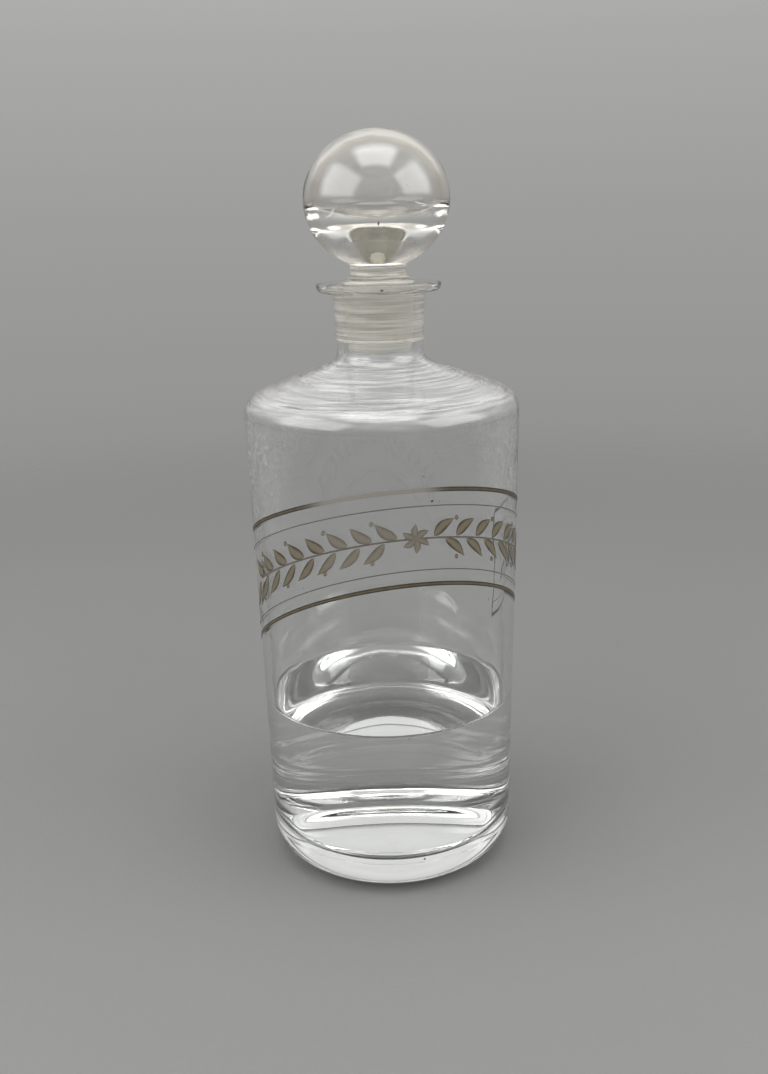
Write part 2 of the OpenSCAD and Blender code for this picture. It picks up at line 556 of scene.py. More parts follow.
@dataclass(frozen=True)
class ClearGlass:
    """Old hand-blown glass: clear, faintly uneven and with a little haze.

    Args:
        name: Name of the material.
        tint: Colour that each surface lets through.
        ior: Bend of light at the surface.
        waves: Height of the long waves.
        peel: Height of the fine orange peel.
        rings: Height of the turning rings on the shoulder.
        rings_z: Heights over the table where the turning rings begin and end.
        rings_soft: Heights over which they set in at the bottom and run out at the top.
        rim: Colour that a face seen edge-on lets through.
        rim_band: How far a face is turned away where the rim's colour begins and is full.
        bloom: Share of light that the white bloom of age scatters, where it is thickest.
        bloom_band: Values of the rings' pattern between which it sets in.
        painted_glow: Share of light that it scatters all over.
        haze: Roughness where it is haziest.
        side_x: Distances from the middle plane between which the patches of bloom set in.
        side_z: Heights between which they set in.
        side_soft: Half the height over which they run out at the shoulder.
        side_share: How strong the patches are, against the bloom in the rings.
        crumb_band: Values of their crumbly pattern between which they set in.
        dimmed: Brightness of the tint where it is darkest.
    """

    name: str
    tint: Colour = (0.985, 0.99, 0.985)
    ior: float = GLASS_IOR
    waves: float = 0.00002
    peel: float = 0.0000015
    rings: float = 0.0
    rings_z: Span = (0.0, 0.0)
    rings_soft: Span = (0.006, 0.003)
    rim: Colour | None = None
    rim_band: Span = (0.6, 0.97)
    bloom: float = 0.0
    bloom_band: Span = (0.34, 0.74)
    painted_glow: float = 0.0
    haze: float = 0.03
    side_x: Span = (0.026, 0.042)
    side_z: Span = (0.112, 0.150)
    side_soft: float = 0.004
    side_share: float = 0.55
    crumb_band: Span = (0.40, 0.68)
    dimmed: float = 0.97

    def make(self) -> bpy.types.Material:
        """Builds the material."""
        nodes = Nodes(self.name)
        cloudy = tuple(self.dimmed * c for c in self.tint)
        tint = nodes.ramp(nodes.noise(scale=60.0, detail=4.0), [(0.3, cloudy), (0.6, self.tint)])
        if self.rim:
            facing = nodes.add("ShaderNodeLayerWeight", blend=0.5).outputs["Facing"]
            edge = nodes.ramp(facing, [(self.rim_band[0], (1.0, 1.0, 1.0)), (self.rim_band[1], self.rim)])
            tint = nodes.mix(1.0, tint, edge, blend="MULTIPLY")
        nodes.set(base_color=tint, transmission_weight=1.0 - self.painted_glow, ior=self.ior,
                  roughness=nodes.rise(nodes.noise(scale=180.0, detail=6.0), 0.55, 0.8, 0.0, self.haze,
                                       kind="LINEAR"))
        relief = [(nodes.noise(scale=70.0, detail=1.0, place=nodes.stretched((1, 1, 0.45))), self.waves),
                  (nodes.noise(scale=900.0, detail=2.0), self.peel)]
        if self.rings:
            relief.append((self.turn_rings(nodes), self.rings))
        nodes.bump(relief)
        return nodes.material

    def turn_rings(self, nodes: Nodes) -> Socket:
        """Draws the turning rings of the shoulder, and the bloom that lies in them.

        Args:
            nodes: The material's nodes.

        Returns:
            The rings' height, from 0 to 1.
        """
        rings_per_m, lumps_per_m = 1100.0, 45.0
        begin, end = self.rings_z
        set_in, run_out = self.rings_soft
        place = nodes.split(nodes.place)
        row = nodes.add("ShaderNodeCombineXYZ", x=nodes.math("MULTIPLY", nodes.away(), rings_per_m),
                        y=nodes.math("MULTIPLY", place["X"], lumps_per_m),
                        z=nodes.math("MULTIPLY", place["Y"], lumps_per_m))
        pattern = nodes.noise(scale=1.0, detail=5.0, roughness=0.7, place=row.outputs["Vector"])
        share = nodes.between(place["Z"], (begin, begin + set_in), (end - run_out, end))
        if self.bloom:
            shoulder = nodes.math("MULTIPLY", nodes.rise(pattern, *self.bloom_band), share)
            both = nodes.math("ADD", shoulder, self.patches(nodes, place))
            scattered = nodes.math("MULTIPLY", both, self.bloom)
            nodes.set(transmission_weight=nodes.math("SUBTRACT", 1.0, scattered))
        return nodes.math("MULTIPLY", pattern, share)

    def patches(self, nodes: Nodes, place: bpy.types.bpy_prop_collection) -> Socket:
        """Draws the crumbly patches of bloom at both sides of the body.

        Args:
            nodes: The material's nodes.
            place: A point's X, Y and Z.

        Returns:
            The patches, from 0 to their share.
        """
        top = self.rings_z[0]
        side = nodes.rise(nodes.math("ABSOLUTE", place["X"]), *self.side_x)
        belt = nodes.between(place["Z"], self.side_z, (top - self.side_soft, top + self.side_soft))
        crumbs = nodes.rise(nodes.noise(scale=700.0, detail=5.0, roughness=0.7), *self.crumb_band)
        patch = nodes.math("MULTIPLY", nodes.math("MULTIPLY", side, belt), crumbs)
        return nodes.math("MULTIPLY", patch, self.side_share)


@dataclass(frozen=True)
class GroundGlass:
    """Glass ground with wet sand on the lathe: frosted, with fine level scratches.

    Args:
        name: Name of the material.
        tint: Colour that each surface lets through.
        clear: Share of the light that it lets through, where the rest is scattered back.
        roughness: How much it blurs what shows through.
        groove: Height of the scratches.
        grain: Lumps along a metre, round the piece and up it, where a scratch is a flat lump.
        dark: Brightness of the deepest scratches.
        swing: How far the shares of clear and dull parts depart from the mean.
        uneven: How far the roughness does.
    """

    name: str
    tint: Colour = (0.985, 0.945, 0.865)
    clear: float = 0.45
    roughness: float = 0.4
    groove: float = 0.000012
    grain: Place = (30.0, 30.0, 1300.0)
    dark: float = 0.72
    swing: float = 0.2
    uneven: float = 0.07

    def make(self) -> bpy.types.Material:
        """Builds the material."""
        nodes = Nodes(self.name)
        rings = nodes.noise(scale=1.0, detail=5.0, roughness=0.7, place=nodes.stretched(self.grain))
        deep = tuple(self.dark * c for c in self.tint)
        rough = nodes.rise(nodes.noise(scale=220.0, detail=5.0), 0.35, 0.65, self.roughness - self.uneven,
                           self.roughness + self.uneven, kind="LINEAR")
        clear = nodes.rise(rings, 0.38, 0.62, self.clear + self.swing, self.clear - self.swing)
        nodes.set(base_color=nodes.ramp(rings, [(0.36, deep), (0.58, self.tint)]), ior=GLASS_IOR,
                  roughness=rough, transmission_weight=clear)
        nodes.bump([(rings, self.groove), (nodes.noise(scale=2500.0, detail=2.0), self.groove / 4)])
        return nodes.material


@dataclass(frozen=True)
class Liquid:
    """A face of the clear contents.

    Args:
        name: Name of the material.
        ior: Bend of light there: against air at the surface, and none against the
            wetted glass, whose own faces bend it.
    """

    name: str
    ior: float

    def make(self) -> bpy.types.Material:
        """Builds the material."""
        nodes = Nodes(self.name)
        tint = nodes.ramp(nodes.noise(scale=25.0), [(0.2, (0.99, 0.99, 0.985)), (0.8, (1.0, 1.0, 1.0))])
        nodes.set(base_color=tint, transmission_weight=1.0, ior=self.ior, roughness=0.0)
        return nodes.material


@dataclass(frozen=True)
class CutStain:
    """Brown stain in a shallow cut: dark at the cut's edges and worn in its middle.

    Args:
        name: Name of the material.
        edge: Colour along the edges of the cut.
        middle: Colour in its middle.
        border: Share of the cut's width that an edge takes.
        clear: Share of the middle that lets light through.
        pale: Colour of the worn stretch.
        worn: Where the worn stretch begins and ends, from side to side.
        worn_share: How much of the stain is gone there.
        fade: Half the width over which it sets in.
        ragged: How ragged the border between edge and middle is.
        blend: Shares of the width over which it blends into the middle and into the edge.
    """

    name: str
    edge: Colour = (0.04, 0.027, 0.016)
    middle: Colour = (0.15, 0.115, 0.072)
    border: float = 0.29
    clear: float = 0.3
    pale: Colour = (0.42, 0.40, 0.36)
    worn: Span | None = None
    worn_share: float = 0.75
    fade: float = 0.005
    ragged: float = 0.35
    blend: Span = (0.12, 0.06)

    def make(self) -> bpy.types.Material:
        """Builds the material."""
        nodes = Nodes(self.name)
        across = nodes.split(nodes.add("ShaderNodeTexCoord").outputs["UV"])["Y"]
        from_middle = nodes.math("ABSOLUTE", nodes.math("SUBTRACT", across, 0.5))
        lumps = nodes.math("SUBTRACT", nodes.noise(scale=500.0, detail=5.0), 0.5)
        place = nodes.math("ADD", from_middle, nodes.math("MULTIPLY", lumps, self.ragged))
        inner = 0.5 - self.border
        stain = nodes.ramp(place, [(max(0.0, inner - self.blend[0]), self.middle),
                                   (inner + self.blend[1], self.edge)])
        if self.worn:
            begin, end = self.worn
            there = nodes.between(nodes.split(nodes.place)["X"], (begin - self.fade, begin + self.fade),
                                  (end - self.fade, end + self.fade))
            stain = nodes.mix(nodes.math("MULTIPLY", there, self.worn_share), stain, (*self.pale, 1.0))
        nodes.set(base_color=stain, roughness=0.45, transmission_weight=self.clear, ior=GLASS_IOR)
        nodes.bump([(nodes.noise(scale=1500.0, detail=3.0), 0.00003)])
        return nodes.material


@dataclass(frozen=True)
class Mark:
    """A matt mark on the glass, mottled between two colours.

    Args:
        name: Name of the material.
        dark: Its darker colour.
        light: Its lighter colour.
        grain: How many mottles lie along a metre.
        turn: Values of the mottling where the dark colour ends and the light one begins.
        roughness: How matt it is.
    """

    name: str
    dark: Colour
    light: Colour
    grain: float
    turn: Span
    roughness: float

    def make(self) -> bpy.types.Material:
        """Builds the material."""
        nodes = Nodes(self.name)
        stops = list(zip(self.turn, (self.dark, self.light)))
        nodes.set(base_color=nodes.ramp(nodes.noise(scale=self.grain), stops), roughness=self.roughness)
        return nodes.material


def wear(piece: Piece, finishes: list[tuple[object, Test | None]]) -> None:
    """Gives a piece its finishes.

    Args:
        piece: The piece.
        finishes: Each finish with the test that says which faces wear it, by their
            middles. The first one is worn wherever no later test holds.
    """
    piece.data.materials.clear()
    for finish, _ in finishes:
        piece.data.materials.append(finish.make())
    for face in piece.data.polygons:
        face.material_index = 0
        for index, (_, test) in enumerate(finishes):
            if test is not None and test(face.center):
                face.material_index = index


def settle(piece: Piece, body: Body, slot: Slot, *nodes: str) -> None:
    """Hands a finished piece to the frame.

    Args:
        piece: The piece.
        body: Body that carries it.
        slot: Material slot; not used.
        nodes: Frame nodes that it stands for.
    """
    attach(piece, body.value)
    if nodes:
        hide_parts(*nodes)
    low = [min(v.co[k] for v in piece.data.vertices) * 1000 for k in range(3)]
    high = [max(v.co[k] for v in piece.data.vertices) * 1000 for k in range(3)]
    log.info("%s: %d faces, %s to %s mm", piece.name, len(piece.data.polygons),
             [round(v, 2) for v in low], [round(v, 2) for v in high])


def radius_of(place: Vector) -> float:
    """Returns a point's distance from the axis."""
    return math.hypot(place.x, place.y)


@dataclass
class Vessel:
    """The blown bottle: underside, heel, wall, shoulder, neck, ground seat and lip."""

    height: float = 0.210
    body_d: float = 0.096
    wall_lean: float = 0.96
    wall_t: float = 0.003
    shoulder_r: float = 0.0083
    shoulder_slope: float = 19.8
    flare_r: float = 0.0045
    neck_d: float = 0.030
    neck_top_d: float = 0.0312
    neck_h: float = 0.0198
    lip_d: float = 0.0426
    lip_t: float = 0.0031
    lip_under_r: float = 0.0019
    lip_top_r: float = 0.0008
    lip_root_r: float = 0.0012
    heel_r: float = 0.0119
    foot_w: float = 0.0086
    dish_h: float = 0.0036
    dish_round: float = 0.002
    base_t: float = 0.012
    inner_heel_r: float = 0.006
    floor_rise: float = 0.0115
    seat_d: float = 0.0244
    seat_taper: float = 0.1
    seat_foot: float = 0.0044
    seat_step_h: float = 0.001
    seam_w: float = 0.0007
    seam_t: float = 0.00006
    # Longest straight stretch of the outline
    row: float = 0.003
    # Height up to which the contents wet the inner wall
    wet_z: float = 0.0622
    # Height over which the inner wall starts to ripple
    calm_z: float = 0.028
    # How far up the neck the turning rings of the shoulder reach
    rings_up: float = 0.002
    outer_ripple: Ripple = Ripple(length=0.028, depth=0.00012)
    inner_ripple: Ripple = Ripple(length=0.020, depth=0.00030)

    @cached_property
    def lip_low_z(self) -> float:
        """Height of the lip's underside."""
        return self.height - self.lip_t

    @cached_property
    def neck_z(self) -> float:
        """Height of the foot of the neck."""
        return self.lip_low_z - self.neck_h

    @cached_property
    def seat_low_z(self) -> float:
        """Height of the seat's lower end."""
        return self.neck_z + self.seat_foot

    @cached_property
    def wall_h(self) -> float:
        """Height at which the wall starts to round into the shoulder."""
        lean, slope = math.radians(self.wall_lean), math.radians(self.shoulder_slope)
        corner = self.body_d / 2 - self.shoulder_r / math.cos(lean) + self.shoulder_r * math.sin(slope)
        flare = self.neck_d / 2 + self.flare_r * (1 - math.sin(slope))
        rise = (self.shoulder_r + self.flare_r) * math.cos(slope) + (corner - flare) * math.tan(slope)
        return self.neck_z - rise

    def wall_r(self, z: float, inset: float = 0.0) -> float:
        """Returns the wall's radius at a height, inset square to the wall."""
        lean = math.radians(self.wall_lean)
        return self.body_d / 2 + (z - self.wall_h) * math.tan(lean) - inset / math.cos(lean)

    def seat_r(self, z: float, gap: float = 0.0) -> float:
        """Returns the ground seat's radius at a height, less a clearance."""
        return self.seat_d / 2 - (self.height - z) * self.seat_taper / 2 - gap

    @cached_property
    def shoulder_c(self) -> Point:
        """Centre that the shoulder's outer and inner corner share."""
        return self.wall_r(self.wall_h, self.shoulder_r), self.wall_h

    @cached_property
    def flare_c(self) -> Point:
        """Centre that the outer and inner curve into the neck share."""
        return self.neck_d / 2 + self.flare_r, self.neck_z

    @cached_property
    def heel_c(self) -> Point:
        """Centre of the rounded heel."""
        return self.wall_r(self.heel_r, self.heel_r), self.heel_r

    def underside(self) -> Outline:
        """Returns the hollow of the underside and the rounding of its edge into the flat foot."""
        edge = (self.heel_c[0] - self.foot_w, 0.0)
        slope = 2 * math.atan(self.dish_h / edge[0])
        low = (edge[0] - self.dish_round * math.cos(slope), self.dish_round * math.sin(slope))
        return [*dome(self.dish_h, low[0], self.dish_h - low[1]),
                *curve(low, edge, (edge[0] + self.dish_round, 0.0), parts=8)]

    def seam(self) -> Outline:
        """Returns the low ridge that the mould's foot ring leaves above the heel."""
        low = self.heel_r + self.seam_w
        return [(self.wall_r(low + self.seam_w * share) + self.seam_t * math.sin(math.pi * share) ** 2,
                 low + self.seam_w * share) for share in (0.0, 0.17, 0.34, 0.5, 0.66, 0.83, 1.0)]

    def outside(self) -> Outline:
        """Returns the half outline from under the base to the mouth."""
        under_r = min(self.lip_under_r, self.lip_t - self.lip_top_r)
        root_c = (self.neck_top_d / 2 + self.lip_root_r, self.lip_low_z - self.lip_root_r)
        under_c = (self.lip_d / 2 - under_r, self.lip_low_z + under_r)
        top_c = (self.lip_d / 2 - self.lip_top_r, self.height - self.lip_top_r)
        mouth_c = (self.seat_r(self.height) + self.lip_top_r, self.height - self.lip_top_r)
        return [
            *self.underside(),
            *arc(self.heel_c, self.heel_r, -UP, -self.wall_lean, step=3),
            *self.seam(),
            *arc(self.shoulder_c, self.shoulder_r, -self.wall_lean, UP - self.shoulder_slope, step=3),
            *arc(self.flare_c, self.flare_r, DOWN - self.shoulder_slope, INWARD),
            *arc(root_c, self.lip_root_r, INWARD, UP, step=10),
            *arc(under_c, under_r, -UP, 0, step=9),
            *arc(top_c, self.lip_top_r, 0, UP, step=10),
            *arc(mouth_c, self.lip_top_r, UP, INWARD, step=10),
        ]

    def inside(self) -> Outline:
        """Returns the half outline from the seat down to the middle of the floor."""
        return [
            (self.seat_r(self.seat_low_z), self.seat_low_z),
            (self.neck_d / 2 - self.wall_t, self.seat_low_z - self.seat_step_h),
            *arc(self.flare_c, self.flare_r + self.wall_t, INWARD, DOWN - self.shoulder_slope),
            *arc(self.shoulder_c, self.shoulder_r - self.wall_t,
                 UP - self.shoulder_slope, -self.wall_lean, step=4),
            (self.wall_r(self.wet_z, self.wall_t), self.wet_z),
            *self.floor(),
        ]

    def floor(self, gap: float = 0.0) -> Outline:
        """Returns the inner heel and the risen floor, moved inwards by a gap."""
        z = self.base_t + self.inner_heel_r
        centre = (self.wall_r(z, self.wall_t + self.inner_heel_r), z)
        slope = 2 * math.atan(self.floor_rise / centre[0])
        radius = centre[0] / math.sin(slope) - self.inner_heel_r + gap
        middle = (0.0, z - centre[0] / math.tan(slope))
        turn = math.degrees(slope)
        return [*arc(centre, self.inner_heel_r - gap, -self.wall_lean, -UP - turn, step=3),
                *arc(middle, radius, UP - turn, UP, step=2)]

    def is_inside(self, place: Vector) -> bool:
        """Says whether a point lies on the inner wall of the body."""
        return radius_of(place) < self.wall_r(place.z, self.wall_t / 2) and place.z > self.base_t - WELD

    def is_wet(self, place: Vector) -> bool:
        """Says whether the contents cover a point of the surface."""
        return self.is_inside(place) and place.z < self.wet_z

    def is_lip(self, place: Vector) -> bool:
        """Says whether a point lies on the flat lip."""
        return place.z > self.lip_low_z - self.lip_root_r and radius_of(place) > self.neck_top_d / 2

    def is_ground(self, place: Vector) -> bool:
        """Says whether a point lies on the ground seat."""
        in_seat = self.seat_low_z - self.seat_step_h < place.z < self.height - self.lip_top_r
        return in_seat and radius_of(place) < self.seat_d / 2 + self.lip_top_r / 2

    def body_share(self, place: Vector) -> float:
        """Returns how much a point of the body may ripple, fading out at its ends."""
        at_neck = ease(place.z, self.wall_h, self.neck_z)
        return ease(place.z, self.heel_r / 2, 2 * self.heel_r) * (1 - at_neck)

    def inner_share(self, place: Vector) -> float:
        """Returns how much a point of the inner wall may ripple."""
        if not self.is_inside(place):
            return 0.0
        return self.body_share(place) * ease(place.z, self.calm_z, 2 * self.calm_z)

    def build(self) -> Piece:
        """Turns the vessel and sinks its ripples."""
        piece = lathe("bottle_glass", with_rows([*self.outside(), *self.inside()], self.row))
        self.outer_ripple.press(
            piece, "outer", lambda p: 0.0 if self.is_inside(p) else self.body_share(p))
        self.inner_ripple.press(piece, "inner", self.inner_share)
        return piece

    def dress(self, piece: Piece) -> None:
        """Finishes the vessel and hands it to the frame."""
        rings_z = (self.wall_h, self.neck_z + self.rings_up)
        wear(piece, [(ClearGlass("blown_glass", rings=0.000006, rings_z=rings_z, bloom=0.34,
                                 rim=(0.66, 0.62, 0.54)), None),
                     (ClearGlass("lip_glass", rim=(0.34, 0.29, 0.22), rim_band=(0.35, 0.9)), self.is_lip),
                     (ClearGlass("wetted_glass", ior=GLASS_IOR / CONTENTS_IOR, peel=0.0), self.is_wet),
                     (GroundGlass("ground_seat", clear=0.3), self.is_ground)])
        settle(piece, Body.BOTTLE, Slot.BOTTLE_GLASS, "bottle")


@dataclass
class Stopper:
    """Ground plug, stem and hollow globe with a tailed bubble, in one glass."""

    vessel: Vessel
    plug_gap: float = 0.00005
    plug_reach: float = 0.0045
    plug_proud: float = 0.0008
    plug_chamfer: float = 0.0007
    stem_d: float = 0.0188
    globe_d: float = 0.0492
    globe_h: float = 0.0452
    stem_h: float = 0.0059
    globe_t: float = 0.0021
    bubble_floor: float = 0.0115
    tail_d: float = 0.022
    tail_t: float = 0.004
    tip_d: float = 0.002
    tip_h: float = 0.001
    globe_root: float = 0.0016
    # Longest straight stretches of the two outlines, and how often the bubble's is smoothed
    row: float = 0.002
    bubble_row: float = 0.0009
    bubble_rounds: int = 16
    # Height under the middle of the globe from which its outside starts to ripple
    calm_h: float = 0.012
    outer_ripple: Ripple = Ripple(length=0.016, depth=0.00012)
    inner_ripple: Ripple = Ripple(length=0.014, depth=0.00025)

    @cached_property
    def globe_c(self) -> Point:
        """Centre of the globe."""
        angle = math.acos(self.stem_d / self.globe_d)
        return 0.0, self.vessel.height + self.stem_h + self.globe_h / 2 * math.sin(angle)

    def outside(self) -> Outline:
        """Returns the half outline of the plug, stem and globe."""
        seat_r = self.vessel.seat_r
        foot_z = self.vessel.seat_low_z - self.plug_reach
        head_z = self.vessel.height + self.plug_proud
        head_r = seat_r(head_z, self.plug_gap)
        stem_r = self.stem_d / 2
        half_w, half_h = self.globe_d / 2, self.globe_h / 2
        stem_angle = math.degrees(math.acos(stem_r / half_w))
        hollow_r = min(head_r - stem_r, self.stem_h - self.plug_proud - self.globe_root)
        leave = math.degrees(math.atan(self.globe_root / half_h)) - stem_angle
        corner = (stem_r, self.globe_c[1] - half_h * math.sin(math.radians(stem_angle)))
        globe = oval(self.globe_c, half_w, half_h, leave, UP, step=2.5)
        return [
            (0.0, foot_z),
            (seat_r(foot_z, self.plug_gap) - self.plug_chamfer, foot_z),
            (seat_r(foot_z + self.plug_chamfer, self.plug_gap), foot_z + self.plug_chamfer),
            (head_r, head_z),
            *arc((stem_r + hollow_r, head_z + hollow_r), hollow_r, DOWN, INWARD, step=8),
            *curve((stem_r, corner[1] - self.globe_root / 2), corner, globe[0], parts=8),
            *globe,
        ]

    def bubble(self) -> Outline:
        """Returns the half outline of the sealed bubble, from its top to its tail."""
        half_w, half_h = self.globe_d / 2 - self.globe_t, self.globe_h / 2 - self.globe_t
        turn = math.degrees(math.acos(self.tail_d / 2 / half_w))
        low = oval(self.globe_c, half_w, self.bubble_floor, 0, -turn, step=2.5)
        rim = low[-1]
        tip = (0.0, self.vessel.height + self.stem_h + self.tail_t)
        pull = (self.tip_d / 2, tip[1] + self.tip_h)
        return [*oval(self.globe_c, half_w, half_h, UP, 0, step=2.5), *low, *curve(rim, pull, tip)]

    def is_ground(self, place: Vector) -> bool:
        """Says whether a point lies on the ground plug's side or foot."""
        return place.z < self.vessel.height - self.vessel.lip_top_r

    def is_free(self, place: Vector) -> bool:
        """Says whether a point lies on the ground plug below its seat."""
        return place.z < self.vessel.seat_low_z

    def is_stem(self, place: Vector) -> bool:
        """Says whether a point lies on the stem between the mouth and the globe."""
        foot = self.vessel.height - self.vessel.lip_top_r
        return foot < place.z < self.vessel.height + self.stem_h - self.globe_root / 2

    def is_tail(self, place: Vector) -> bool:
        """Says whether a point lies on the tail of the bubble."""
        low = self.globe_c[1] - self.bubble_floor
        return self.is_bubble(place) and place.z < low + self.tip_h and radius_of(place) < self.tail_d / 2

    def is_bubble(self, place: Vector) -> bool:
        """Says whether a point lies on the wall of the bubble."""
        half_w, half_h = self.globe_d / 2 - self.globe_t / 2, self.globe_h / 2 - self.globe_t / 2
        up = place.z - self.globe_c[1]
        in_globe = math.hypot(radius_of(place) / half_w, up / half_h) < 1
        return in_globe and place.z > self.vessel.height + self.stem_h + self.tail_t - WELD

    def build(self) -> Piece:
        """Turns the stopper and its bubble."""
        shell = lathe("stopper_shell", with_rows(self.outside(), self.row))
        rows = with_rows(self.bubble(), self.bubble_row)
        bubble = lathe("stopper_bubble", relaxed(rows, self.bubble_rounds))
        middle = self.globe_c[1]
        self.outer_ripple.press(shell, "globe", lambda p: ease(p.z, middle - self.calm_h, middle))
        self.inner_ripple.press(bubble, "globe", lambda p: 1.0)
        turn_inside_out(bubble)
        return join([shell, bubble], "stopper_glass")

    def dress(self, piece: Piece) -> None:
        """Finishes the stopper and hands it to the frame."""
        looks = {"tint": (0.985, 0.98, 0.96), "rim": (0.90, 0.82, 0.70), "rim_band": (0.38, 0.8)}
        cream = (1.0, 0.975, 0.90)
        wear(piece, [(ClearGlass("globe_glass", **looks), None),
                     (ClearGlass("bubble_glass", **looks), self.is_bubble),
                     # The tail's cream tint and scattered share are painted light: a painted reflection of
                     # the ground plug seen through the tail
                     (ClearGlass("bubble_tail", tint=(1.0, 0.96, 0.85), painted_glow=0.2), self.is_tail),
                     # The stem's frosted cream is painted light: it stands in for the light that the ground
                     # plug throws up into the clear stem
                     (GroundGlass("dull_stem", tint=cream, clear=0.75, roughness=0.12,
                                  groove=0.000004), self.is_stem),
                     (GroundGlass("ground_plug", clear=0.72), self.is_ground),
                     (GroundGlass("plug_end", tint=cream, clear=0.22), self.is_free)])
        settle(piece, Body.STOPPER, Slot.STOPPER_GLASS, "stopper")


@dataclass
class Contents:
    """The clear liquid, which climbs a little at the wall."""

    vessel: Vessel
    fill_h: float = 0.061
    meniscus: float = 0.0018
    contact: float = 20.0
    film: float = 0.00004
    # Longest straight stretch of the outline
    row: float = 0.004
    # How near the wall a face belongs to the liquid's side and not to its surface
    wall_margin: float = 0.0001

    def outline(self) -> Outline:
        """Returns the half outline, from the middle of the surface down to the floor."""
        inset = self.vessel.wall_t + self.film
        centre = (self.vessel.wall_r(self.fill_h + self.meniscus, inset) - self.meniscus,
                  self.fill_h + self.meniscus)
        climb_z = centre[1] - self.meniscus * math.sin(math.radians(self.contact))
        return [(0.0, self.fill_h),
                *arc(centre, self.meniscus, -UP, -self.contact, step=6),
                (self.vessel.wall_r(climb_z, inset), climb_z),
                *self.vessel.floor(self.film)]

    def is_surface(self, place: Vector) -> bool:
        """Says whether a point lies on the open surface."""
        inset = self.vessel.wall_t + self.film + self.wall_margin
        return place.z >= self.fill_h - WELD and radius_of(place) < self.vessel.wall_r(place.z, inset)

    def build(self) -> Piece:
        """Turns the liquid."""
        return lathe("liquid_fill", with_rows(self.outline(), self.row))

    def dress(self, piece: Piece) -> None:
        """Finishes the liquid and hands it to the frame."""
        wear(piece, [(Liquid("liquid_at_glass", ior=1.001), None),
                     (Liquid("liquid_surface", ior=CONTENTS_IOR), self.is_surface)])
        settle(piece, Body.BOTTLE, Slot.CLEAR_LIQUID, "liquid")


@dataclass(frozen=True)
class Arch:
    """A line round the front of the wall that is highest at the ribbon's middle.

    Args:
        top: Height of its middle.
        drop: How far it falls a quarter turn away from there.
    """

    top: float
    drop: float

    def height(self, turn: float) -> float:
        """Returns its height, a number of degrees away from its middle."""
        return self.top - self.drop * (1 - math.cos(math.radians(turn)))


